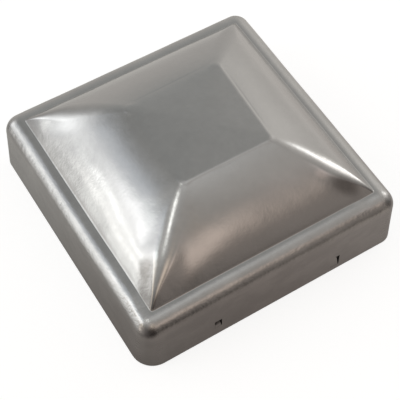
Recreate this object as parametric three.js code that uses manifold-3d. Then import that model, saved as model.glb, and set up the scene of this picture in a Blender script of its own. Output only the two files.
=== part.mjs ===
// Pressed steel pyramid cap for a 4 in (101.6 mm) square fence post.
//
// The cap is drawn from one blank of 1.5 mm sheet: a shallow truncated pyramid
// stands inside a rolled shoulder, and a slightly flared skirt hangs below it
// and slides down over the post. Four small barbs are lanced out of the front
// and rear of the skirt, two on each. Each is a tongue rooted at its lower end
// with its upper end bent into the socket, so that it springs back as the cap
// is driven on and bites when the cap is pulled.
//
// Units are millimetres, +Z is up and the front faces -Y. The origin is the
// centre of the socket on the plane of the skirt's lower edge.
import * as THREE from "three";
import { mergeVertices } from "three/addons/utils/BufferGeometryUtils.js";
import Module from "manifold-3d";

const radians = (degrees) => (degrees * Math.PI) / 180;

// ---- driving dimensions -------------------------------------------------
const SHEET = 1.5; // sheet thickness

// skirt and shoulder
const WIDTH = 105; // outside width just under the shoulder
const FLARE = 0.8; // how far each side of the skirt leans out by its lower edge
const CORNER_R = 5.6; // outside radius of the vertical corners
const LEDGE_Z = 25.8; // height of the flat ledge round the pyramid
const LEDGE_CORNER_R = 1; // plan radius left at the corners where the shoulder ends
const SHOULDER_W = 6.4; // how far in from the wall the rolled shoulder reaches
const SHOULDER_H = 7; // how far down from the ledge it reaches

// pyramid
const CREASE = 45.5; // half width of the square crease at the pyramid's foot
const CREASE_CORNER_R = 0.9; // plan radius of the crease at its corners
const FACE_BOW = radians(17.5); // half the angle each bowed face turns through
const RIDGE_R = 5.8; // largest plan radius of the rounded ridges
const RIDGE_WIDEST = 0.4; // how far up the face the ridges are roundest, 0 to 1
const TABLE = 18.6; // half width of the small table that truncates the pyramid
const TABLE_Z = 45.5; // height of the table's edge
const TABLE_CORNER_R = 2.4; // plan radius of the table's corners
const CROWN = 0.7; // how far the table domes above its edge

// barbs: the pair on one wall, left then right as seen from outside it
const BARBS = [
  // right edge, height of the free edge before bending, length, bend
  { right: -21.7, top: 8.9, length: 3.9, bend: radians(28) },
  { right: 27.3, top: 8.3, length: 5.7, bend: radians(15) },
];
const BARB_W = 3; // width of a barb
const BARB_GAP = 0.15; // clearance up a barb's sides and over its free edge
const ROOT_GAP = 0.45; // clearance under its root, where the sheet bends

// facets
const ARC_STEPS = 6; // round a quarter turn in plan
const SIDE_STEPS = 6; // along a straight side
const SHOULDER_STEPS = 6;
const FACE_STEPS = 8;
const TABLE_STEPS = 2; // rings on the table, not counting its edge

// ---- derived dimensions -------------------------------------------------
const HALF = WIDTH / 2;
const WALL_TOP = LEDGE_Z - SHOULDER_H; // where the flat of the skirt ends
const DRAFT = Math.atan(FLARE / WALL_TOP); // lean of the skirt
const WALL_ACROSS = SHEET / Math.cos(DRAFT); // level thickness of the leaning wall

// Each bowed face is an arc in section, from the crease up to the table.
const FACE_RUN = CREASE - TABLE;
const FACE_RISE = TABLE_Z - LEDGE_Z;
const CHORD_SLOPE = Math.atan2(FACE_RISE, FACE_RUN);
const FOOT_SLOPE = CHORD_SLOPE + FACE_BOW;
const FACE_R = Math.hypot(FACE_RUN, FACE_RISE) / (2 * Math.sin(FACE_BOW));
const FACE_CENTRE_X = CREASE - FACE_R * Math.sin(FOOT_SLOPE);
const FACE_CENTRE_Z = LEDGE_Z - FACE_R * Math.cos(FOOT_SLOPE);

// ---- materials ----------------------------------------------------------
const steel = (color, roughness) =>
  new THREE.MeshStandardMaterial({ color, roughness, metalness: 1 });

function pressedSteel() {
  const warmGrey = 0xa3a19d;
  const roughness = 0.3;
  return steel(warmGrey, roughness);
}

function shearedSteel() {
  const darkerGrey = 0x8e8b86;
  const roughness = 0.42;
  return steel(darkerGrey, roughness);
}

// ---- the sheet's profile ------------------------------------------------
// A station is a level contour of one skin: [half width, corner radius, height].
// Each section below returns pairs of matching stations, [upper, lower], where
// the upper skin is the outside of the cap.
const lerp = (a, b, t) => a + (b - a) * t;
const smooth = (t) => t * t * (3 - 2 * t);

// Two stations, so that each side of the skirt is one flat wall.
function skirtStations() {
  return [
    [HALF + FLARE, 0],
    [HALF, WALL_TOP],
  ].map(([half, z]) => [
    [half, CORNER_R, z],
    [half - WALL_ACROSS, CORNER_R - SHEET, z],
  ]);
}

// A quarter roll, from the wall in to the ledge.
function shoulderStations() {
  const pairs = [];
  for (let i = 1; i <= SHOULDER_STEPS; i++) {
    const angle = (i / SHOULDER_STEPS) * (Math.PI / 2);
    const over = Math.cos(angle);
    const up = Math.sin(angle);
    const station = (inset) => [
      HALF - inset - (SHOULDER_W - inset) * (1 - over),
      LEDGE_CORNER_R + (CORNER_R - LEDGE_CORNER_R - inset) * over,
      WALL_TOP + (SHOULDER_H - inset) * up,
    ];
    pairs.push([station(0), station(SHEET)]);
  }
  return pairs;
}

// The crease at the pyramid's foot, mitred on the underside.
function creaseStations() {
  const mitre = SHEET * Math.tan(FOOT_SLOPE / 2);
  return [
    [
      [CREASE, CREASE_CORNER_R, LEDGE_Z],
      [CREASE - mitre, CREASE_CORNER_R - mitre, LEDGE_Z - SHEET],
    ],
  ];
}

// Plan radius of the ridges; t runs from 0 at the crease to 1 at the table.
function ridgeRadius(t) {
  if (t < RIDGE_WIDEST) {
    return lerp(CREASE_CORNER_R, RIDGE_R, smooth(t / RIDGE_WIDEST));
  }
  const above = (t - RIDGE_WIDEST) / (1 - RIDGE_WIDEST);
  return lerp(RIDGE_R, TABLE_CORNER_R, smooth(above));
}

// The bowed faces, above the crease and up to the table's edge.
function faceStations() {
  const pairs = [];
  for (let i = 1; i <= FACE_STEPS; i++) {
    const t = i / FACE_STEPS;
    const slope = lerp(FOOT_SLOPE, CHORD_SLOPE - FACE_BOW, t);
    const station = (inset) => [
      FACE_CENTRE_X + (FACE_R - inset) * Math.sin(slope),
      ridgeRadius(t) - inset * Math.sin(slope),
      FACE_CENTRE_Z + (FACE_R - inset) * Math.cos(slope),
    ];
    pairs.push([station(0), station(SHEET)]);
  }
  return pairs;
}

// The table's slight dome, short of its middle point.
function tableStations() {
  const pairs = [];
  for (let i = 1; i <= TABLE_STEPS; i++) {
    const scale = 1 - i / (TABLE_STEPS + 1);
    const z = TABLE_Z + CROWN * (1 - scale * scale);
    const station = (inset) => [TABLE * scale, TABLE_CORNER_R * scale, z - inset];
    pairs.push([station(0), station(SHEET)]);
  }
  return pairs;
}

// ---- the sheet ----------------------------------------------------------
// Every ring holds the same count of points, so that one joins to the next.
const RING_COUNT = 4 * (ARC_STEPS + SIDE_STEPS);

// A square with rounded corners, counter-clockwise seen from above.
function ring(half, radius) {
  const points = [];
  const origin = new THREE.Vector2();
  const flat = half - radius; // half the straight part of a side
  for (let quarter = 0; quarter < 4; quarter++) {
    const start = (quarter * Math.PI) / 2;
    const end = ((quarter + 1) * Math.PI) / 2;
    const turned = (x, y) => new THREE.Vector2(x, y).rotateAround(origin, start);
    const corner = turned(flat, flat);
    const arc = new THREE.EllipseCurve(
      corner.x,
      corner.y,
      radius,
      radius,
      start,
      end,
    ).getPoints(ARC_STEPS);
    points.push(...arc);
    const sideStart = arc[arc.length - 1];
    const sideEnd = turned(-flat, half);
    for (let i = 1; i < SIDE_STEPS; i++) {
      points.push(sideStart.clone().lerp(sideEnd, i / SIDE_STEPS));
    }
  }
  return points;
}

// Joins the stations of both skins into one closed sheet.
function sheetGeometry() {
  const stations = [
    ...skirtStations(),
    ...shoulderStations(),
    ...creaseStations(),
    ...faceStations(),
    ...tableStations(),
  ];
  const position = [];
  const index = [];

  // Adds a ring and returns the index of its first vertex.
  const addRing = ([half, radius, z]) => {
    const first = position.length / 3;
    for (const point of ring(half, radius)) position.push(point.x, point.y, z);
    return first;
  };
  const join = (a, b) => {
    for (let i = 0; i < RING_COUNT; i++) {
      const j = (i + 1) % RING_COUNT;
      index.push(a + i, a + j, b + j, a + i, b + j, b + i);
    }
  };
  // Closes a ring with a fan to a point on the axis.
  const close = (first, z, facesDown) => {
    const centre = position.length / 3;
    position.push(0, 0, z);
    for (let i = 0; i < RING_COUNT; i++) {
      const j = (i + 1) % RING_COUNT;
      if (facesDown) index.push(first + j, first + i, centre);
      else index.push(first + i, first + j, centre);
    }
  };

  const upper = stations.map(([station]) => addRing(station));
  const lower = stations.map(([, station]) => addRing(station));
  for (let i = 1; i < stations.length; i++) {
    join(upper[i - 1], upper[i]);
    join(lower[i], lower[i - 1]);
  }
  join(lower[0], upper[0]); // the sheared lower edge
  close(upper[upper.length - 1], TABLE_Z + CROWN, false);
  close(lower[lower.length - 1], TABLE_Z + CROWN - SHEET, true);

  const geometry = new THREE.BufferGeometry();
  geometry.setAttribute("position", new THREE.Float32BufferAttribute(position, 3));
  geometry.setIndex(index);
  return geometry;
}

// ---- manifold conversion ------------------------------------------------
const wasm = await Module();
wasm.setup();

// Normals and uvs are dropped so that coincident vertices weld.
function solid(geometry) {
  geometry.deleteAttribute("normal");
  geometry.deleteAttribute("uv");
  const merged = mergeVertices(geometry, 1e-4);
  return new wasm.Manifold(
    new wasm.Mesh({
      numProp: 3,
      vertProperties: new Float32Array(merged.attributes.position.array),
      triVerts: new Uint32Array(merged.index.array),
    }),
  );
}

function geometryOf(manifold) {
  const mesh = manifold.getMesh();
  const positions = new Float32Array(mesh.vertProperties);
  const geometry = new THREE.BufferGeometry();
  geometry.setAttribute("position", new THREE.BufferAttribute(positions, 3));
  geometry.setIndex(new THREE.BufferAttribute(new Uint32Array(mesh.triVerts), 1));
  geometry.computeVertexNormals();
  return geometry;
}

// ---- walls and barb outlines --------------------------------------------
// A wall frame has x along the wall, y up the wall and z out of it, with its
// origin on the inside face of the wall at the lower edge.
function wallMatrix(side) {
  const matrix = new THREE.Matrix4().makeBasis(
    new THREE.Vector3(1, 0, 0),
    new THREE.Vector3(0, Math.sin(DRAFT), Math.cos(DRAFT)),
    new THREE.Vector3(0, -Math.cos(DRAFT), Math.sin(DRAFT)),
  );
  matrix.setPosition(0, -(HALF + FLARE - WALL_ACROSS), 0);
  if (side === "front") return matrix;
  return new THREE.Matrix4().makeRotationZ(Math.PI).multiply(matrix);
}

// A barb's outline pushed through the wall from z, `grow` larger along its
// sides and free edge, with its root `lift` above the bend line.
function barbPrism({ right, top, length }, { grow, lift, depth, z }) {
  const x0 = right - BARB_W - grow;
  const x1 = right + grow;
  const y0 = top - length + lift;
  const y1 = top + grow;
  const outline = new THREE.Shape();
  outline.moveTo(x0, y0);
  outline.lineTo(x1, y0);
  outline.lineTo(x1, y1);
  outline.lineTo(x0, y1);
  outline.closePath();
  return new THREE.ExtrudeGeometry(outline, {
    depth,
    bevelEnabled: false,
    steps: 1,
  }).translate(0, 0, z);
}

// ---- pieces -------------------------------------------------------------
// The sheet with a window cut through it for each barb.
function makeShell() {
  const cutter = { grow: BARB_GAP, lift: 0, depth: SHEET * 3, z: -SHEET };
  let shell = solid(sheetGeometry());
  for (const side of ["front", "rear"]) {
    for (const barb of BARBS) {
      const window = barbPrism(barb, cutter).applyMatrix4(wallMatrix(side));
      shell = shell.subtract(solid(window));
    }
  }
  const mesh = new THREE.Mesh(geometryOf(shell), pressedSteel());
  mesh.name = "cap_shell";
  return mesh;
}

// A barb turned into the socket about its bend line, which lies along the
// wall in the middle of the sheet's thickness.
function makeBarb(barb, name) {
  const root = barb.top - barb.length;
  const geometry = barbPrism(barb, { grow: 0, lift: ROOT_GAP, depth: SHEET, z: 0 });
  geometry.translate(0, -root, -SHEET / 2);
  const mesh = new THREE.Mesh(geometry, shearedSteel());
  mesh.name = name;

  const bend = new THREE.Group();
  bend.position.set(0, root, SHEET / 2);
  bend.rotation.x = -barb.bend;
  bend.add(mesh);
  return bend;
}

function makeBarbWall(side) {
  const wall = new THREE.Group();
  wall.applyMatrix4(wallMatrix(side));
  ["left", "right"].forEach((hand, i) => {
    wall.add(makeBarb(BARBS[i], `grip_barb_${side}_${hand}`));
  });
  return wall;
}

const cap = new THREE.Group();
cap.add(makeShell(), makeBarbWall("front"), makeBarbWall("rear"));

export default cap;
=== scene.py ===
# Pressed steel fence post cap: a square skirt with two lanced barbs in its front
# wall and two in its rear, a rolled shoulder, a narrow ledge, and four bowed faces
# that rise to a small table. It stands on z = 0, centred on the Z axis.
# The front is -Y and the left is -X.
import math
from typing import NamedTuple

import bmesh
import bpy
import numpy as np
from mathutils import Matrix, Vector


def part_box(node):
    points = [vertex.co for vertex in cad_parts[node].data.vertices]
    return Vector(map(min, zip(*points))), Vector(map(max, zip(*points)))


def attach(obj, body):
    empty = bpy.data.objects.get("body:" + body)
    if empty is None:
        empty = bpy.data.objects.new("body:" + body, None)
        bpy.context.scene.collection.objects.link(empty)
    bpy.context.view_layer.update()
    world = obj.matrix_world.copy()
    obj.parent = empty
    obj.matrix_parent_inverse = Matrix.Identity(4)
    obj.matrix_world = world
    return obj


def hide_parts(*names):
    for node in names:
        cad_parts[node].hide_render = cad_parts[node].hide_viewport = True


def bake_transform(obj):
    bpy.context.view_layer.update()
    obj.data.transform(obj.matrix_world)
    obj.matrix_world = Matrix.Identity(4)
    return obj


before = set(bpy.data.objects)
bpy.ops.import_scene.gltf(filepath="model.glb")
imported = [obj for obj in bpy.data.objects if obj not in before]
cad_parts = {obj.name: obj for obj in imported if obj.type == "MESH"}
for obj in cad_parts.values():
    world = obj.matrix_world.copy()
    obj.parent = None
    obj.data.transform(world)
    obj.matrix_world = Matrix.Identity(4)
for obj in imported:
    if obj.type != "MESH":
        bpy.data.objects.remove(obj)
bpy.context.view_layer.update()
MM = 0.001

# ---------------------------------------------------------------- dimensions
# Millimetres. "Half" is half the cap's width at some height.
_, CAP_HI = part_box("cap_shell")
FOOT = CAP_HI.x / MM  # half, over the skirt's lower edge
TOP = CAP_HI.z / MM  # crown height
SHEET = 1.5
FLARE = 0.8  # how far the skirt spreads from its top to its foot
HALF = FOOT - FLARE
CORNER_R = 5.6  # corner radii are in plan
SIDE_HALF = HALF - CORNER_R  # half the straight run of a wall
UPRIGHT_HALF = 31  # on the skirt, mesh lines this near a wall's middle are upright

LEDGE_Z = 25.8
LEDGE_CORNER_R = 1.0
SHOULDER_W = 6.4  # how far in the rolled shoulder reaches
SHOULDER_H = 7.0  # and how far down
WALL_TOP = LEDGE_Z - SHOULDER_H
DRAFT = math.atan(FLARE / WALL_TOP)
LEAN = SHEET / math.cos(DRAFT)  # the wall's thickness, measured level

CREASE = 45.5  # half, where ledge and face meet
CREASE_FILLET = 0.35
CREASE_CORNER_R = 0.9
TABLE = 18.6  # half, at the table's edge
TABLE_Z = TOP - 0.7
TABLE_CORNER_R = 2.4
DOME_RISE = 0.42  # sets the slope of the table's shallow dome
CROWN_GAP = 0.012  # the innermost ring stays this far under the crown height
BEND_OUT = 0.9  # the table's bend, outside its edge
BEND_IN = 0.9  # and inside it
# Corner radius up the ridge: share of the way from crease to table, radius.
RIDGE = [(0.0, CREASE_CORNER_R), (0.4, 5.8), (0.6, 5.2), (1.0, TABLE_CORNER_R)]

# The face is an arc from crease to table, bowed outwards.
FACE_BOW = math.radians(17.5)  # half the angle it spans
FACE_SLOPE = math.atan2(TABLE_Z - LEDGE_Z, CREASE - TABLE)
FACE_R = math.hypot(CREASE - TABLE, TABLE_Z - LEDGE_Z) / (2 * math.sin(FACE_BOW))
FOOT_SLOPE = FACE_SLOPE + FACE_BOW
HEAD_SLOPE = FACE_SLOPE - FACE_BOW
FACE_CENTRE = CREASE - FACE_R * math.sin(FOOT_SLOPE)
FACE_CENTRE_Z = LEDGE_Z - FACE_R * math.cos(FOOT_SLOPE)
FACE_SWELL = 0.5  # how far its middle swells between the ridges
FOLD_RUN = CREASE_FILLET * math.tan(FOOT_SLOPE / 2)  # fold's reach each side of the crease
BEND_SLOPE = HEAD_SLOPE + BEND_OUT / FACE_R  # slope where the table's bend begins

# Mesh density
SKIRT_PITCH = 0.9
SIDE_PITCH = 1.1
CORNER_STEPS = 14
SHOULDER_STEPS = 20
FOLD_STEPS = 6
FACE_STEPS = 48
TABLE_STOPS = [(TABLE - BEND_IN - 0.2, 10), (TABLE - 5, 5), (0.4, 15)]  # half, steps to it
SLOPE_STEPS = 24  # sums per table station

BARB_GAP = 0.07  # over a barb's free edge and up its left side
WIDE_GAP = 0.4  # up its right side


class Barb(NamedTuple):
    """A tongue in the wall, seen from outside: it is rooted below and free above."""

    right: float  # right edge, from the wall's middle
    width: float
    top: float
    length: float
    bend: float

    @property
    def root(self):
        return self.top - self.length

    @property
    def window_top(self):
        return self.top + BARB_GAP

    @property
    def window_sides(self):
        return self.right - self.width - BARB_GAP, self.right + WIDE_GAP


BARBS = {
    "left": Barb(right=-22.3, width=2.4, top=8.9, length=3.9, bend=math.radians(28)),
    "right": Barb(right=27.3, width=3.0, top=8.3, length=5.7, bend=math.radians(15)),
}

# Small departures from the nominal shape.
# How far the table's corners sit off, by the signs of their x and y.
TABLE_OFF = {(-1, -1): (1.3, -0.3), (1, -1): (0.0, -0.4), (1, 1): (1.5, 0.7), (-1, 1): (0.4, -0.1)}
SOFT_BEND = {"left": 1.6, "back": 1.6}  # blur that draws out the bend round the table
CORNER_GROW = 2.5  # extra radius at the foot of the front left corner
# Unevenness of the sheet: height, seed, feature size, number of waves.
WAVES = [(0.030, 3, 26, 10), (0.010, 5, 9, 14)]
# Soft swells and dips: middle x, y, spread along and across, turn in degrees, height.
SWELLS = [
    (-44.2, -20.4, 12.1, 4.7, 65, 0.23), (-44.1, -3.9, 8.9, 4.1, 60, -0.09),
    (-44.1, -28.1, 12.2, 4.1, 134, 0.16), (-44.0, -44.2, 8.2, 3.4, 178, -0.18),
    (-44.0, 12.2, 5.4, 2.6, 173, -0.07), (-43.9, 36.1, 11.9, 2.6, 85, 0.19),
    (-43.9, -35.6, 12.0, 2.8, 2, 0.14), (-43.5, -33.1, 10.4, 2.4, 58, 0.24),
    (-40.7, -43.3, 2.5, 2.6, 6, 0.17), (-40.0, 24.0, 9.2, 3.8, 57, -0.09),
    (-40.0, 40.0, 12.2, 3.3, 23, 0.13), (-39.8, -35.1, 2.4, 3.0, 159, -0.24),
    (-39.6, 32.1, 2.6, 4.4, 171, -0.16), (-36.6, -31.8, 2.5, 2.5, 175, 0.15),
    (-35.8, -19.9, 12.2, 4.6, 116, -0.14), (-35.7, -42.9, 12.6, 2.4, 23, -0.24),
    (-35.7, 24.8, 9.3, 2.5, 139, 0.19), (-33.5, -36.8, 4.6, 2.5, 27, 0.24),
    (-32.3, 39.7, 12.0, 2.9, 7, 0.08), (-32.3, 31.7, 7.2, 3.4, 149, -0.18),
    (-32.1, 40.0, 3.2, 4.8, 177, 0.09), (-31.9, -24.3, 6.9, 2.6, 18, -0.19),
    (-31.8, 4.0, 3.9, 10.9, 12, 0.07), (-24.3, -32.2, 2.5, 12.1, 150, -0.24),
    (-24.1, 23.9, 3.7, 3.1, 19, 0.10), (-24.0, -28.0, 3.2, 5.3, 176, -0.06),
    (-23.9, -36.0, 5.8, 3.6, 151, -0.15), (-23.1, -16.6, 6.3, 2.5, 156, 0.15),
    (-21.1, -28.6, 3.8, 12.0, 179, -0.11), (8.0, -36.1, 11.9, 4.2, 13, -0.24),
    (24.0, -32.0, 9.2, 3.0, 156, -0.03), (28.4, -36.2, 3.3, 12.0, 26, 0.18),
    (31.9, -24.1, 5.6, 5.1, 180, -0.08), (36.1, -39.8, 3.3, 2.5, 1, -0.11),
    (40.4, -43.7, 2.5, 12.1, 12, -0.24), (44.4, -39.9, 2.6, 2.6, 176, 0.11),
]


# ------------------------------------------------------------------- helpers
def lerp(a, b, t):
    return a + (b - a) * t


def smooth(t):
    t = np.clip(t, 0, 1)
    return t * t * (3 - 2 * t)


def steps(stops, pitch):
    """Values that hit every stop and are otherwise about a pitch apart."""
    out = [stops[0]]
    for a, b in zip(stops, stops[1:]):
        count = max(1, round(abs(b - a) / pitch))
        out += [lerp(a, b, (i + 1) / count) for i in range(count)]
    return out


def add_object(name, data):
    made = bpy.data.objects.new(name, data)
    bpy.context.scene.collection.objects.link(made)
    return made


def smooth_mesh(name, points, faces):
    """A smooth-shaded mesh object from points in millimetres."""
    mesh = bpy.data.meshes.new(name)
    mesh.from_pydata([tuple(p) for p in points * MM], [], faces)
    mesh.validate()
    mesh.update()
    mesh.polygons.foreach_set("use_smooth", [True] * len(mesh.polygons))
    return add_object(name, mesh)


# ------------------------------------------------------------- shell profile
class Station(NamedTuple):
    """One level ring of the outer skin."""

    half: float
    z: float
    corner: float
    out: float  # the normal's level part
    up: float  # and its upright part
    zone: str


def skirt_stations():
    edges = {b.root for b in BARBS.values()} | {b.window_top for b in BARBS.values()}
    return [
        Station(HALF + FLARE * (1 - z / WALL_TOP), z, CORNER_R,
                math.cos(DRAFT), math.sin(DRAFT), "skirt")
        for z in steps([0.0, *sorted(edges), WALL_TOP], SKIRT_PITCH)
    ]


def shoulder_stations():
    """A quarter ellipse from the wall to the ledge."""
    stations = []
    for i in range(1, SHOULDER_STEPS + 1):
        angle = math.pi / 2 * i / SHOULDER_STEPS
        c, s = math.cos(angle), math.sin(angle)
        if i == SHOULDER_STEPS:
            c, s = 0.0, 1.0
        out, up = c / SHOULDER_W, s / SHOULDER_H
        size = math.hypot(out, up)
        corner = LEDGE_CORNER_R + (CORNER_R - LEDGE_CORNER_R) * c
        half = HALF - SHOULDER_W + SHOULDER_W * c
        z = WALL_TOP + SHOULDER_H * s
        stations.append(Station(half, z, corner, out / size, up / size, "roll"))
    return stations


def fold_stations():
    """The ledge, then the fillet that is tangent to ledge and face."""
    start = CREASE + FOLD_RUN
    half = lerp(HALF - SHOULDER_W, start, 0.5)
    corner = lerp(LEDGE_CORNER_R, CREASE_CORNER_R, 0.5)
    stations = [Station(half, LEDGE_Z, corner, 0.0, 1.0, "ledge")]
    for i in range(FOLD_STEPS + 1):
        slope = FOOT_SLOPE * i / FOLD_STEPS
        c, s = math.cos(slope), math.sin(slope)
        half = start - CREASE_FILLET * s
        z = LEDGE_Z + CREASE_FILLET * (1 - c)
        stations.append(Station(half, z, CREASE_CORNER_R, s, c, "fold"))
    return stations


def face_share(half):
    """How far a half width is from the crease to the table, 0 to 1."""
    return (CREASE - half) / (CREASE - TABLE)


def ridge_radius(share):
    """The ridge is a point at the crease, broad above it, crisp at the table."""
    for (t0, r0), (t1, r1) in zip(RIDGE, RIDGE[1:]):
        if share <= t1:
            return lerp(r0, r1, smooth((share - t0) / (t1 - t0)))
    return RIDGE[-1][1]


def face_stations():
    stations = []
    for i in range(1, FACE_STEPS + 1):
        slope = lerp(FOOT_SLOPE - FOLD_RUN / FACE_R, BEND_SLOPE, i / FACE_STEPS)
        c, s = math.cos(slope), math.sin(slope)
        half = FACE_CENTRE + FACE_R * s
        z = FACE_CENTRE_Z + FACE_R * c
        corner = float(ridge_radius(face_share(half)))
        stations.append(Station(half, z, corner, s, c, "face"))
    return stations


def table_stations(start):
    """The slope eases out over the bend, then falls to nothing at the middle."""

    def slope_at(half):
        rest = math.atan(2 * DOME_RISE * half / (TABLE * TABLE))
        inner = TABLE - BEND_IN
        return lerp(rest, BEND_SLOPE, float(smooth((half - inner) / (start.half - inner))))

    halves, stop = [], start.half
    for end, count in TABLE_STOPS:
        halves += list(np.linspace(stop, end, count + 1)[1:])
        stop = end
    heights, z, last = [], start.z, start.half
    for half in halves:
        for j in range(SLOPE_STEPS):
            middle = lerp(last, half, (j + 0.5) / SLOPE_STEPS)
            z += math.tan(slope_at(middle)) * (last - half) / SLOPE_STEPS
        last = half
        heights.append(z)
    # stretched to end on the crown height
    scale = (TOP - CROWN_GAP - start.z) / (heights[-1] - start.z)
    stations = []
    for half, z in zip(halves, heights):
        slope = slope_at(half)
        corner = min(TABLE_CORNER_R, TABLE_CORNER_R * half / TABLE)
        z = start.z + (z - start.z) * scale
        stations.append(Station(half, z, corner, math.sin(slope), math.cos(slope), "table"))
    return stations


def profile():
    """All stations, from the skirt's edge to the middle of the table."""
    stations = skirt_stations() + shoulder_stations() + fold_stations() + face_stations()
    return stations + table_stations(stations[-1])


# --------------------------------------------------------------- shell rings
def ring_layout():
    """For each point of a ring: its quarter, its angle round the corner (or nan),
    and its place along the wall, -1 to 1 from the left seen from outside (or nan)."""
    stops = [-SIDE_HALF]
    for barb in BARBS.values():
        stops += barb.window_sides
    stops.append(SIDE_HALF)
    along = np.array(steps(stops, SIDE_PITCH)) / SIDE_HALF
    points = []
    for quarter in range(4):
        for i in range(CORNER_STEPS + 1):
            points.append((quarter, i / CORNER_STEPS * math.pi / 2, np.nan))
        points += [(quarter, np.nan, share) for share in along[1:-1]]
    return [np.array(column) for column in zip(*points)]


QUARTER, CORNER_ANGLE, ALONG = ring_layout()
RING = len(QUARTER)


def ring_points(half, z, corner):
    """The points of one ring, and the x and y of their level outward normals."""
    on_arc = ~np.isnan(CORNER_ANGLE)
    angle = np.where(on_arc, CORNER_ANGLE, math.pi / 2)
    run = half - corner
    along = np.nan_to_num(ALONG) * SIDE_HALF
    if run >= SIDE_HALF:  # on the skirt the windows stay upright
        stretch = (run - UPRIGHT_HALF) / (SIDE_HALF - UPRIGHT_HALF)
        wide = np.sign(along) * (UPRIGHT_HALF + (np.abs(along) - UPRIGHT_HALF) * stretch)
        along = np.where(np.abs(along) <= UPRIGHT_HALF, along, wide)
    else:
        along = along * run / SIDE_HALF
    # laid out for the back wall and the corner at its +X end, then turned
    x = np.where(on_arc, run + corner * np.cos(angle), -along)
    y = np.where(on_arc, run + corner * np.sin(angle), half)
    out_x = np.where(on_arc, np.cos(angle), 0.0)
    out_y = np.where(on_arc, np.sin(angle), 1.0)
    c, s = np.cos(QUARTER * math.pi / 2), np.sin(QUARTER * math.pi / 2)
    points = np.stack([x * c - y * s, x * s + y * c, np.full(RING, z)], 1)
    return points, out_x * c - out_y * s, out_x * s + out_y * c


def outer_ring(station):
    """Points and normals of the outer skin at a station."""
    points, out_x, out_y = ring_points(station.half, station.z, station.corner)
    normals = np.stack([out_x * station.out, out_y * station.out, np.full(RING, station.up)], 1)
    # the faces swell a little between the ridges
    if station.zone == "face":
        share = min(max(face_share(station.half), 0), 1)
        run = np.where(np.isnan(ALONG), 1.0, np.abs(np.nan_to_num(ALONG)))
        swell = FACE_SWELL * math.sin(math.pi * share) ** 0.8 * (1 - run**2)
        points = points + normals * swell[:, None]
    return points, normals


def inner_ring(station):
    """Points of the inner skin, one sheet thickness in."""
    smallest = 0.15 * min(1.0, station.half / 5)
    corner = max(station.corner - SHEET * station.out, smallest)
    if station.z == 0:
        corner = station.corner - SHEET
    half, z = station.half - SHEET * station.out, station.z - SHEET * station.up
    if station.zone == "skirt":
        half, z = station.half - LEAN, station.z
    return ring_points(half, z, corner)[0]


# ---------------------------------------------------------- shell departures
def soften(stations):
    """Height change over half width that draws the table's bend out, by side."""
    half = np.array([s.half for s in stations])
    z = np.array([s.z for s in stations])
    grid = np.linspace(0, CREASE, 900)
    height = np.interp(grid, half[::-1], z[::-1])
    across = np.concatenate([height[::-1], height[1:]])
    step = grid[1] - grid[0]
    changes = {}
    for side, width in SOFT_BEND.items():
        reach = int(3 * width / step)
        kernel = np.exp(-0.5 * (np.arange(-reach, reach + 1) * step / width) ** 2)
        kernel /= kernel.sum()
        padded = np.pad(across, reach, mode="edge")
        blurred = np.convolve(padded, kernel, mode="valid")[len(height) - 1 :]
        fade = smooth((grid - 4) / 6) * smooth((CREASE - 8 - grid) / 8)
        changes[side] = (grid, (blurred - height) * fade)
    return changes


def bend_true(points, changes):
    """Applies the drawn-out bends and the table's offsets."""
    x, y, z = points.T
    raised = z
    for side, (grid, change) in changes.items():
        out, across = (-x, y) if side == "left" else (y, x)
        near = 1 - smooth((np.abs(across) - 0.72 * out) / (0.24 * np.maximum(out, 1)))
        raised = raised + np.interp(out, grid, change, left=0, right=0) * near * (out > 0)
    rise = np.clip((z - LEDGE_Z + SHEET) / (TABLE_Z - LEDGE_Z), 0, 1) ** 1.6
    share_x = np.clip(x / TABLE, -1, 1) * 0.5 + 0.5
    share_y = np.clip(y / TABLE, -1, 1) * 0.5 + 0.5
    shift_x = np.zeros_like(x)
    shift_y = np.zeros_like(x)
    for (sign_x, sign_y), (off_x, off_y) in TABLE_OFF.items():
        weight_x = share_x if sign_x > 0 else 1 - share_x
        weight_y = share_y if sign_y > 0 else 1 - share_y
        shift_x += weight_x * weight_y * off_x
        shift_y += weight_x * weight_y * off_y
    return np.stack([x + rise * shift_x, y + rise * shift_y, raised], 1)


def ease_corner(points):
    """The skirt's front left corner widens to a larger radius at its foot."""
    down = np.clip(1 - points[:, 2] / WALL_TOP, 0, 1)
    grow = CORNER_GROW * down
    big = CORNER_R + grow
    half = HALF + FLARE * down
    # distances to the left and to the front of the larger corner's centre
    left, front = big - half - points[:, 0], big - half - points[:, 1]
    turn = np.arctan2(front, left)
    c, s = np.cos(turn), np.sin(turn)
    on_arc = np.minimum(c, s) * big > grow * np.maximum(c, s)
    root = np.sqrt(np.maximum(CORNER_R**2 - grow**2 * (1 - np.sin(2 * turn)), 0))
    reach = grow * (c + s) + root
    reach = np.where(on_arc, reach, big / np.maximum(np.maximum(c, s), 0.5))
    pull = np.where((left > 0) & (front > 0), reach - big, 0.0)
    return points + np.stack([pull * c, pull * s, np.zeros_like(pull)], 1)


def swells(points):
    """Height change from the swells, fading out down the shoulder."""
    change = np.zeros(len(points))
    for x, y, length, width, turn, height in SWELLS:
        c, s = math.cos(math.radians(turn)), math.sin(math.radians(turn))
        dx, dy = points[:, 0] - x, points[:, 1] - y
        along, across = (c * dx + s * dy) / length, (-s * dx + c * dy) / width
        change += height * np.exp(-0.5 * (along**2 + across**2))
    return change * smooth((points[:, 2] - 19.5) / 5.0)


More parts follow.
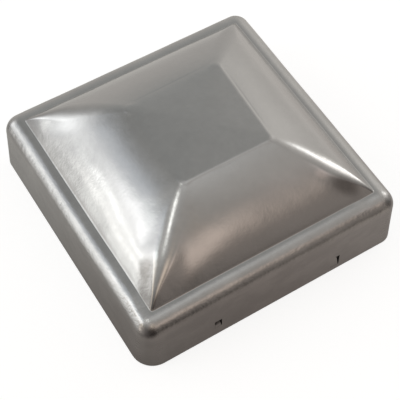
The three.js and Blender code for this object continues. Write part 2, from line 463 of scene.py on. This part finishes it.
def wave_field(points, seed, size, count):
    """Smooth, seeded unevenness, about -1 to 1, with features of one size."""
    rng = np.random.default_rng(seed)
    ways = rng.normal(size=(count, 3))
    ways /= np.linalg.norm(ways, axis=1, keepdims=True)
    waves = ways * (2 * math.pi / (size * rng.uniform(0.7, 1.5, (count, 1))))
    phase = rng.uniform(0, 2 * math.pi, count)
    return np.sin(points @ waves.T + phase).sum(1) / math.sqrt(count)


def uneven(points):
    """Unevenness of the pressing, fading out at the skirt's edge and the crown."""
    z = points[:, 2]
    fade = smooth((z - 1.0) / 6.0) * smooth((TOP - z + 0.15) / 0.5)
    return sum(height * wave_field(points, *wave) for height, *wave in WAVES) * fade


# ---------------------------------------------------------------- shell mesh
def window_cells(stations):
    """The (ring, point) cells that the barbs' windows cut from back and front."""
    slack = 1e-6
    cut = set()
    for quarter in (0, 2):
        for barb in BARBS.values():
            left, right = barb.window_sides
            columns = [
                j for j in range(RING)
                if QUARTER[j] == quarter and left - slack <= ALONG[j] * SIDE_HALF < right - slack
            ]
            for i in range(len(stations) - 1):
                above_root = barb.root - slack <= stations[i].z
                below_top = stations[i + 1].z <= barb.window_top + slack
                if stations[i].zone == "skirt" and above_root and below_top:
                    for j in columns:
                        cut.add((i, j))
    return cut


def weigh_sheared_edges(mesh):
    """Bevel weights for the skirt's rim and, more lightly, the windows' edges."""
    bm = bmesh.new()
    bm.from_mesh(mesh)
    weight = bm.edges.layers.float.new("bevel_weight_edge")
    for edge in bm.edges:
        top = max(v.co.z for v in edge.verts)
        sharp = edge.is_manifold and top < WALL_TOP * MM
        if sharp and edge.calc_face_angle(0) > math.radians(50):
            on_rim = top < 0.1 * MM
            edge[weight] = 1.0 if on_rim else 0.3
    bm.to_mesh(mesh)
    bm.free()


def build_shell():
    stations = profile()
    rings = len(stations)
    outer_rings, normal_rings = zip(*(outer_ring(s) for s in stations))
    outer, normals = np.concatenate(outer_rings), np.concatenate(normal_rings)
    inner = np.concatenate([inner_ring(s) for s in stations])
    changes = soften(stations)
    outer, inner = (ease_corner(bend_true(skin, changes)) for skin in (outer, inner))
    lift = swells(outer)
    for skin in (outer, inner):
        skin[:, 2] += lift
        skin += normals * uneven(skin)[:, None]
    middles = [outer[-RING:].mean(0), inner[-RING:].mean(0)]
    points = np.concatenate([outer, inner, middles])
    outer_middle = 2 * rings * RING
    inner_middle = outer_middle + 1

    def outside(i, j):
        return i * RING + j % RING

    def inside(i, j):
        return rings * RING + i * RING + j % RING

    cut = window_cells(stations)
    faces = []
    for i in range(rings - 1):
        for j in range(RING):
            if (i, j) in cut:
                continue
            around = [(i, j), (i, j + 1), (i + 1, j + 1), (i + 1, j)]
            faces.append(tuple(outside(*at) for at in around))
            faces.append(tuple(inside(*around[k]) for k in (1, 0, 3, 2)))
    first_wall = len(faces)
    for i, j in cut:
        # a wall of the window towards each neighbour that stays
        for neighbour, start, end in (
            ((i - 1, j), (i, j + 1), (i, j)),
            ((i + 1, j), (i + 1, j), (i + 1, j + 1)),
            ((i, j - 1), (i, j), (i + 1, j)),
            ((i, j + 1), (i + 1, j + 1), (i, j + 1)),
        ):
            if neighbour not in cut:
                faces.append((outside(*start), inside(*start), inside(*end), outside(*end)))
    last_wall = len(faces)
    # the rim under the skirt, and the fans that close the table
    top = rings - 1
    for j in range(RING):
        faces.append((outside(0, j), inside(0, j), inside(0, j + 1), outside(0, j + 1)))
        faces.append((outside(top, j), outside(top, j + 1), outer_middle))
        faces.append((inside(top, j + 1), inside(top, j), inner_middle))
    # drop the vertices inside the windows
    used = np.zeros(len(points), bool)
    for face in faces:
        used[list(face)] = True
    renumber = np.cumsum(used) - 1
    faces = [tuple(int(renumber[k]) for k in face) for face in faces]
    made = smooth_mesh("pressed_shell", points[used], faces)
    # the windows' walls get the dull sheared finish, dark with painted shade
    for k in range(first_wall, last_wall):
        made.data.polygons[k].material_index = 1
    weigh_sheared_edges(made.data)
    bevel = made.modifiers.new("sheared_edges", "BEVEL")
    bevel.width = 0.16 * MM
    bevel.segments = 2
    bevel.limit_method = "WEIGHT"
    bevel.harden_normals = False
    bevel.use_clamp_overlap = True
    return made


# --------------------------------------------------------------------- barbs
BARB_ARC = 1.5  # length of the bend at a barb's root
BARB_ARC_STEPS = 9
BARB_RUN_STEPS = 8
BARB_SUMS = 8  # sums per step along the centre line
BARB_EDGE_R = 0.08
BARB_TIP_R = 0.1
SECTION = 16  # points round a barb's section, four to a corner
TIP_ROWS = 4


def wall_point(along, up, out, rear):
    """A point of the front or rear wall, from its inner face's foot."""
    c, s = math.cos(DRAFT), math.sin(DRAFT)
    p = Vector((along, -(FOOT - LEAN) + up * s - out * c, up * c + out * s))
    return Vector((-p.x, -p.y, p.z)) if rear else p


def barb_line(barb):
    """The centre line: height up the wall, distance out of it, lean inwards."""
    reach = barb.length
    lean = math.asin(min(0.9, reach * math.sin(barb.bend) / (reach - BARB_ARC / 2)))
    places = [BARB_ARC * i / BARB_ARC_STEPS for i in range(BARB_ARC_STEPS + 1)]
    places += [lerp(BARB_ARC, reach, (i + 1) / BARB_RUN_STEPS) for i in range(BARB_RUN_STEPS)]
    up, out, last, line = barb.root, SHEET / 2, 0.0, []
    for place in places:
        for j in range(BARB_SUMS):
            middle = lerp(last, place, (j + 0.5) / BARB_SUMS)
            angle = lean * float(smooth(middle / BARB_ARC))
            up += math.cos(angle) * (place - last) / BARB_SUMS
            out -= math.sin(angle) * (place - last) / BARB_SUMS
        last = place
        line.append((up, out, lean * float(smooth(place / BARB_ARC))))
    return line


def barb_section(width, shrink):
    """A rectangle with small rounded edges."""
    x = width / 2 - shrink - BARB_EDGE_R
    y = SHEET / 2 - shrink - BARB_EDGE_R
    points = []
    for corner_x, corner_y, start in ((x, y, 0), (-x, y, 90), (-x, -y, 180), (x, -y, 270)):
        for i in range(SECTION // 4):
            angle = math.radians(start + 30 * i)
            points.append((corner_x + BARB_EDGE_R * math.cos(angle),
                           corner_y + BARB_EDGE_R * math.sin(angle)))
    return points


def build_barb(name, barb, rear):
    """A tongue of sheet that leaves the wall inwards in a tight bend."""
    line = barb_line(barb)
    tip_up, tip_out, lean = line[-1]
    rows = [(*row, 0.0) for row in line[:-1]]
    for k in range(TIP_ROWS):  # the section draws in round the tip
        turn = math.radians(30 * k)
        back = BARB_TIP_R * (1 - math.sin(turn))
        shrink = BARB_TIP_R * (1 - math.cos(turn))
        rows.append((tip_up - back * math.cos(lean), tip_out + back * math.sin(lean),
                     lean, shrink))
    middle = barb.right - barb.width / 2
    points = []
    for up, out, angle, shrink in rows:
        for x, y in barb_section(barb.width, shrink):
            at = wall_point(middle + x, up + y * math.sin(angle), out + y * math.cos(angle), rear)
            points.append(tuple(at))
    faces = []
    for i in range(len(rows) - 1):
        for j in range(SECTION):
            a, b = i * SECTION + j, i * SECTION + (j + 1) % SECTION
            faces.append((a, a + SECTION, b + SECTION, b))
    faces.append(tuple(range(SECTION)))
    faces.append(tuple((len(rows) - 1) * SECTION + j for j in range(SECTION))[::-1])
    made = smooth_mesh(name, np.array(points), faces)
    # the sheared sides and ends get the dull sheared finish, dark with painted shade
    for i, polygon in enumerate(made.data.polygons):
        if i % SECTION in (7, 15) or i // SECTION >= len(rows) - TIP_ROWS:
            polygon.material_index = 1
    return made


# --------------------------------------------------------------- shader kit
class Shader:
    """A short way to write the node tree of a material or a world."""

    def __init__(self, owner, coordinates="Object"):
        owner.use_nodes = True
        self.tree = owner.node_tree
        self.tree.nodes.clear()
        self.place = self.add("TexCoord").outputs[coordinates]

    def add(self, kind, inputs=None, **settings):
        """A node whose inputs are each given a value or linked to an output."""
        made = self.tree.nodes.new("ShaderNode" + kind)
        for setting, value in settings.items():
            setattr(made, setting, value)
        for socket, value in (inputs or {}).items():
            if isinstance(value, bpy.types.NodeSocket):
                self.tree.links.new(value, made.inputs[socket])
            else:
                made.inputs[socket].default_value = value
        return made

    def calc(self, operation, *values):
        return self.add("Math", dict(enumerate(values)), operation=operation).outputs[0]

    def vector(self, operation, *values):
        made = self.add("VectorMath", dict(enumerate(values)), operation=operation)
        scalar = operation in ("LENGTH", "DOT_PRODUCT")
        return made.outputs["Value" if scalar else "Vector"]

    def split(self, vector):
        return self.add("SeparateXYZ", {0: vector}).outputs

    def remap(self, value, source, target, eased=False):
        """Takes one (start, end) range to another, clamped."""
        return self.add(
            "MapRange",
            {0: value, 1: source[0], 2: source[1], 3: target[0], 4: target[1]},
            clamp=True,
            interpolation_type="SMOOTHSTEP" if eased else "LINEAR",
        ).outputs[0]

    def noise(self, scale, detail, roughness=0.5, stretch=(1, 1, 1), shift=0.0):
        location = (shift, shift * 1.7, shift * 0.6)
        mapped = self.add("Mapping", {0: self.place, "Scale": stretch, "Location": location})
        inputs = {"Vector": mapped.outputs[0], "Scale": scale,
                  "Detail": detail, "Roughness": roughness}
        return self.add("TexNoise", inputs).outputs[0]

    def mix(self, share, first, second):
        inputs = {0: share, 6: (*first, 1), 7: (*second, 1)}
        return self.add("Mix", inputs, data_type="RGBA").outputs[2]

    def blot(self, colour, amount, tint):
        """Multiplies a colour by a tint, as far as an amount says."""
        inputs = {0: amount, 6: colour, 7: (*tint, 1)}
        return self.add("Mix", inputs, data_type="RGBA", blend_type="MULTIPLY").outputs[2]

    def near(self, middle, reach, turn):
        """1 at a place in plan, easing to 0 at an oval's edge round it."""
        inputs = {
            0: self.place,
            "Location": (middle[0] * MM, middle[1] * MM, 0),
            "Rotation": (0, 0, math.radians(turn)),
            "Scale": (reach[0] * MM, reach[1] * MM, 1),
        }
        mapped = self.add("Mapping", inputs, vector_type="TEXTURE").outputs[0]
        flat = self.vector("MULTIPLY", mapped, (1, 1, 0))
        return self.remap(self.vector("LENGTH", flat), (0.25, 1.0), (1.0, 0.0), eased=True)

    def metal(self, colour, roughness, height, depth):
        inputs = {"Strength": 1.0, "Distance": depth, "Height": height}
        bump = self.add("Bump", inputs).outputs[0]
        inputs = {"Metallic": 1.0, "Base Color": colour, "Roughness": roughness, "Normal": bump}
        self.add("OutputMaterial", {0: self.add("BsdfPrincipled", inputs).outputs[0]})

    def by_camera(self, unseen, seen):
        """One shader for the camera's own rays and another for all the rest."""
        camera_ray = self.add("LightPath").outputs["Is Camera Ray"]
        return self.add("MixShader", {0: camera_ray, 1: unseen, 2: seen}).outputs[0]


# ----------------------------------------------------------------- materials
STEEL = (0.60, 0.594, 0.588)
FACE_ROUGH, DRAWN_ROUGH = 0.15, 0.21
DRAWN_FADE = (0.0248, 0.0262)  # metres: the drawn finish ends over these heights
CORNER_FADE = (0.0445, 0.0495)  # metres from both middle planes: corners get rougher
# tint of the painted shade on the short barb's face towards its tip
PAINTED_SHADE_TINT = (0.16, 0.15, 0.145)
# Painted reflections by the front right ridge: a dark oval and a lighter, warmer spot beside it, in
# plan: middle, reach, turn in degrees, tint.
PAINTED_REFLECTIONS = [
    ((35.6, -40.6), (7.5, 3.6), -31, (0.64, 0.62, 0.61)),
    ((28.6, -35.2), (3.6, 1.9), -31, (1.22, 1.17, 1.15)),
]


def steel(name, painted_shade=None, painted_reflections=()):
    """Mill-finish sheet. The faces keep the sheet's own polish; the shoulder
    and skirt were drawn over the die, so they're grainier and streaked. A
    barb's face is darkened towards its tip with painted shade, over the given heights."""
    material = bpy.data.materials.new(name)
    s = Shader(material)
    drawn = s.remap(s.split(s.place)[2], DRAWN_FADE, (1.0, 0.0))
    clouds = s.noise(scale=38, detail=3, roughness=0.55, shift=3.1)
    mottle = s.noise(scale=430, detail=4, roughness=0.62, shift=8.0)
    grain = s.noise(scale=1500, detail=2, shift=1.0)
    streaks = s.noise(scale=800, detail=2, stretch=(1, 1, 0.07), shift=5.0)
    smudge = s.noise(scale=75, detail=3, roughness=0.6, stretch=(1, 1, 1.6), shift=11.3)

    rough = s.calc("MULTIPLY_ADD", drawn, DRAWN_ROUGH - FACE_ROUGH, FACE_ROUGH)
    from_planes = [s.calc("ABSOLUTE", s.split(s.place)[axis], 0) for axis in (0, 1)]
    corner = s.remap(s.calc("MINIMUM", *from_planes), CORNER_FADE, (0.0, 0.10))
    rough = s.calc("ADD", rough, s.calc("MULTIPLY", corner, drawn))
    rough = s.calc("ADD", rough, s.remap(clouds, (0.3, 0.7), (-0.025, 0.04)))
    rough = s.calc("ADD", rough, s.remap(mottle, (0.35, 0.65), (-0.02, 0.03)))

    cloudy = s.remap(clouds, (0.35, 0.65), (0.0, 0.45))
    shade = s.calc("ADD", cloudy, s.remap(mottle, (0.35, 0.65), (0.0, 0.25)))
    smudged = s.calc("MULTIPLY", drawn, s.remap(smudge, (0.35, 0.62), (-0.75, 0.45)))
    shade = s.calc("ADD", s.calc("ADD", shade, smudged), 0.2)
    dark, light = (tuple(v * level for v in STEEL) for level in (0.93, 1.04))
    colour = s.mix(shade, dark, light)
    # painted reflections: a dark oval and a lighter spot multiplied into the colour
    for middle, reach, turn, tint in painted_reflections:
        colour = s.blot(colour, s.near(middle, reach, turn), tint)
    # painted shade: the barb's face darkens towards its tip
    if painted_shade:
        heights = (painted_shade[0] * MM, painted_shade[1] * MM)
        amount = s.remap(s.split(s.place)[2], heights, (0.0, 1.0), eased=True)
        colour = s.blot(colour, amount, PAINTED_SHADE_TINT)

    height = s.calc("ADD", s.calc("MULTIPLY", mottle, 0.8), s.calc("MULTIPLY", grain, 0.2))
    streaked = s.calc("MULTIPLY", s.calc("MULTIPLY", streaks, drawn), 0.35)
    height = s.calc("ADD", height, streaked)
    height = s.calc("MULTIPLY", height, s.calc("MULTIPLY_ADD", drawn, 0.67, 0.28))
    s.metal(colour, rough, height, depth=0.00013)
    return material


def sheared_and_shaded(name):
    """The torn face a shear leaves: dull and finely rough, with its dark colour painted shade for the
    recesses it lines.
    """
    material = bpy.data.materials.new(name)
    s = Shader(material)
    relief = s.noise(scale=1600, detail=3, roughness=0.6, shift=2.0)
    blotch = s.noise(scale=500, detail=2, shift=7.0)
    share = s.remap(blotch, (0.35, 0.65), (0, 1))
    colour = s.mix(share, (0.05, 0.048, 0.046), (0.12, 0.115, 0.11))
    s.metal(colour, s.remap(blotch, (0.3, 0.7), (0.42, 0.6)), relief, depth=0.0001)
    return material


# --------------------------------------------------------------------- build
shell = build_shell()
shell.data.materials.append(steel("pressed_steel_look", painted_reflections=PAINTED_REFLECTIONS))
shell.data.materials.append(sheared_and_shaded("sheared_wall_shaded_look"))
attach(shell, "cap")
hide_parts("cap_shell")

# the short barb's face gets painted shade towards its tip, where it sits back in its window
barb_faces = {
    "left": steel("short_barb_look", painted_shade=(5.6, 7.3)),
    "right": steel("long_barb_look"),
}
# the barbs' sheared sides and ends: dull finish, dark with painted shade
barb_edges = sheared_and_shaded("barb_edge_shaded_look")
for wall in ("front", "rear"):
    rear = wall == "rear"
    for hand, barb in BARBS.items():
        piece = build_barb(f"lanced_barb_{wall}_{hand}", barb, rear)
        piece.data.materials.append(barb_faces[hand])
        piece.data.materials.append(barb_edges)
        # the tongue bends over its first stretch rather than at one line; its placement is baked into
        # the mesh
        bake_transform(piece)
        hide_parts(f"grip_barb_{wall}_{hand}")

# --------------------------------------------------------------------- floor
# Metres, as are the places in the floor's material.
FLOOR_HALF = 3.0
FLOOR_DROP = 0.0002  # keeps the floor clear of the skirt's edge
SHEET_GREY = (0.42, 0.42, 0.42, 1)
GLOW_GREY = (0.80, 0.80, 0.80, 1)
# How the floor looks in the steel: a tone, and how it changes towards +X and +Y.
FLOOR_TONE = (0.368, 0.346, 0.323)
FLOOR_X = (0.0627, 0.0561, 0.0523)
FLOOR_Y = (0.136, 0.144, 0.139)
FLOOR_EDGE = (0.085, 0.16)  # where it fades out in reflections
CONTACT_REACH = (0.053, 0.068)  # where it brightens away from the skirt
CONTACT = (0.78, 1.08)  # its strength at either end of that
UNDER_CAP = (0.048, 0.050)  # where the dark under the cap ends


def floor_material():
    """A pale sheet on a light table, with its own look in reflections."""
    material = bpy.data.materials.new("pale_floor")
    s = Shader(material)
    # distance from the middle, measured square like the skirt
    x, y, _ = s.split(s.place)
    away = s.calc("MAXIMUM", s.calc("ABSOLUTE", x), s.calc("ABSOLUTE", y))
    shade = s.remap(away, CONTACT_REACH, CONTACT)
    lit = s.remap(away, UNDER_CAP, (0.0, 1.0))
    # to the camera: mostly glow, with a little soft shadow
    matt = s.add("BsdfDiffuse", {"Color": SHEET_GREY}).outputs[0]
    glow = s.add("Emission", {"Color": GLOW_GREY, "Strength": lit}).outputs[0]
    pale = s.add("AddShader", {0: matt, 1: glow}).outputs[0]
    # in the steel: a tone that changes with direction
    direction = s.split(s.vector("NORMALIZE", s.place))
    tone = FLOOR_TONE
    for axis, change in enumerate((FLOOR_X, FLOOR_Y)):
        tone = s.vector("MULTIPLY_ADD", direction[axis], change, tone)
    strength = s.calc("MULTIPLY", shade, lit)
    mirrored = s.add("Emission", {"Color": tone, "Strength": strength}, name="seen").outputs[0]
    # the sheet is small: past it the steel sees the studio
    past = s.remap(s.vector("LENGTH", s.place), FLOOR_EDGE, (0.0, 1.0), eased=True)
    gone = s.add("BsdfTransparent").outputs[0]
    mirrored = s.add("MixShader", {0: past, 1: mirrored, 2: gone}).outputs[0]
    s.add("OutputMaterial", {0: s.by_camera(unseen=mirrored, seen=pale)})
    return material


floor_mesh = bpy.data.meshes.new("studio_floor")
floor_corners = [(x * FLOOR_HALF, y * FLOOR_HALF, 0) for x, y in ((-1, -1), (1, -1), (1, 1), (-1, 1))]
floor_mesh.from_pydata(floor_corners, [], [(0, 1, 2, 3)])
floor = add_object("studio_floor", floor_mesh)
floor.location.z = -FLOOR_DROP
floor_mesh.materials.append(floor_material())

# --------------------------------------------------------------------- world
# Soft studio lights round the cap: direction, sharpness, colour.
LOBES = [
    ((0.065, 0.986, -0.153), 5.5, (0.401, 0.389, 0.369)),
    ((0.850, 0.058, 0.523), 7.9, (0.576, 0.558, 0.528)),
    ((-0.601, 0.734, 0.316), 25, (1.69, 1.73, 1.75)),
    ((0.853, 0.518, 0.064), 6.08, (0.416, 0.406, 0.384)),
    ((-0.432, 0.002, 0.902), 9.77, (0.523, 0.523, 0.505)),
    ((0.139, 0.711, 0.689), 5.55, (0.25, 0.264, 0.263)),
    ((0.763, 0.309, -0.568), 15.7, (0.601, 0.568, 0.535)),
    ((0.248, 0.689, -0.681), 12.8, (0.281, 0.275, 0.267)),
    ((0.317, -0.462, 0.828), 14.9, (0.327, 0.316, 0.299)),
    ((-0.771, 0.346, 0.535), 95.1, (1.85, 1.89, 1.93)),
    ((-0.961, -0.265, 0.077), 9.52, (0.188, 0.172, 0.164)),
    ((-0.867, 0.118, 0.485), 40.6, (0.845, 0.744, 0.608)),
    ((-0.205, -0.606, 0.769), 40.9, (0.818, 0.679, 0.553)),
    ((-0.863, 0.460, -0.209), 49.5, (0.826, 0.815, 0.792)),
    ((0.474, -0.766, -0.435), 28, (0.485, 0.437, 0.385)),
    ((0.166, -0.011, 0.986), 25.6, (0.385, 0.392, 0.388)),
    ((-0.996, 0.067, 0.058), 79.8, (1.27, 1.16, 1.03)),
    ((0.191, -0.813, 0.550), 54.3, (0.671, 0.556, 0.48)),
    ((0.930, 0.013, 0.367), 147, (1.58, 1.51, 1.46)),
    ((-0.873, 0.450, 0.187), 247, (1.99, 2, 1.95)),
    ((-0.684, 0.211, 0.698), 181, (1.31, 1.44, 1.48)),
    ((-0.309, 0.007, 0.951), 294, (2.18, 2.22, 2.15)),
    ((0.394, -0.903, 0.170), 29.5, (0.231, 0.208, 0.19)),
    ((0.866, 0.097, 0.490), 190, (1.19, 1.22, 1.22)),
    ((0.977, 0.095, 0.192), 427, (2.64, 2.62, 2.6)),
    ((-0.895, 0.446, 0.016), 265, (1.29, 1.32, 1.29)),
    ((-0.550, 0.469, 0.691), 81.9, (0.313, 0.354, 0.405)),
    ((0.567, -0.560, 0.604), 81.2, (0.346, 0.302, 0.286)),
    ((-0.820, 0.462, 0.338), 592, (2.08, 2.12, 2.09)),
    ((0.980, 0.200, -0.014), 161, (0.362, 0.346, 0.311)),
]
BASE_LIGHT = (0.0297, 0.0237, 0.0216)
BACKDROP = (0.95, 0.95, 0.95, 1)


def build_world():
    world = bpy.data.worlds.new("soft_studio")
    bpy.context.scene.world = world
    s = Shader(world, coordinates="Generated")
    total = None
    for direction, sharpness, colour in LOBES:
        facing = s.vector("DOT_PRODUCT", s.place, Vector(direction).normalized())
        falloff = s.calc("EXPONENT", s.calc("MULTIPLY_ADD", facing, sharpness, -sharpness))
        light = s.add("VectorMath", {0: colour, "Scale": falloff}, operation="SCALE").outputs[0]
        terms = (light, BASE_LIGHT) if total is None else (total, light)
        total = s.vector("ADD", *terms)
    studio = s.add("Background", {0: total}).outputs[0]
    # the camera itself sees only plain white past the floor
    white = s.add("Background", {0: BACKDROP}).outputs[0]
    s.add("OutputWorld", {0: s.by_camera(unseen=studio, seen=white)})


build_world()

# -------------------------------------------------------------------- camera
AZIMUTH = math.radians(-33.023)  # from the front, positive towards +X
ELEVATION = math.radians(57.520)
ROLL = math.radians(1.644)
DISTANCE = 0.43041  # metres
TARGET = Vector((0.000101, -0.002973, 0.0))


def build_camera():
    data = bpy.data.cameras.new("camera")
    data.sensor_width = 36.0
    data.lens = 103.153
    data.clip_start, data.clip_end = 0.01, 20
    camera = add_object("camera", data)
    level = math.cos(ELEVATION)
    back = Vector((math.sin(AZIMUTH) * level, -math.cos(AZIMUTH) * level, math.sin(ELEVATION)))
    right = (-back).cross(Vector((0, 0, 1))).normalized()
    up = right.cross(-back)
    rolled_right = right * math.cos(ROLL) + up * math.sin(ROLL)
    rolled_up = up * math.cos(ROLL) - right * math.sin(ROLL)
    columns = (rolled_right, rolled_up, back, TARGET + back * DISTANCE)
    camera.matrix_world = Matrix([[column[i] for column in columns] for i in range(3)] + [[0, 0, 0, 1]])
    bpy.context.scene.camera = camera


build_camera()
bpy.context.scene.view_settings.view_transform = "Standard"
bpy.context.scene.view_settings.look = "None"
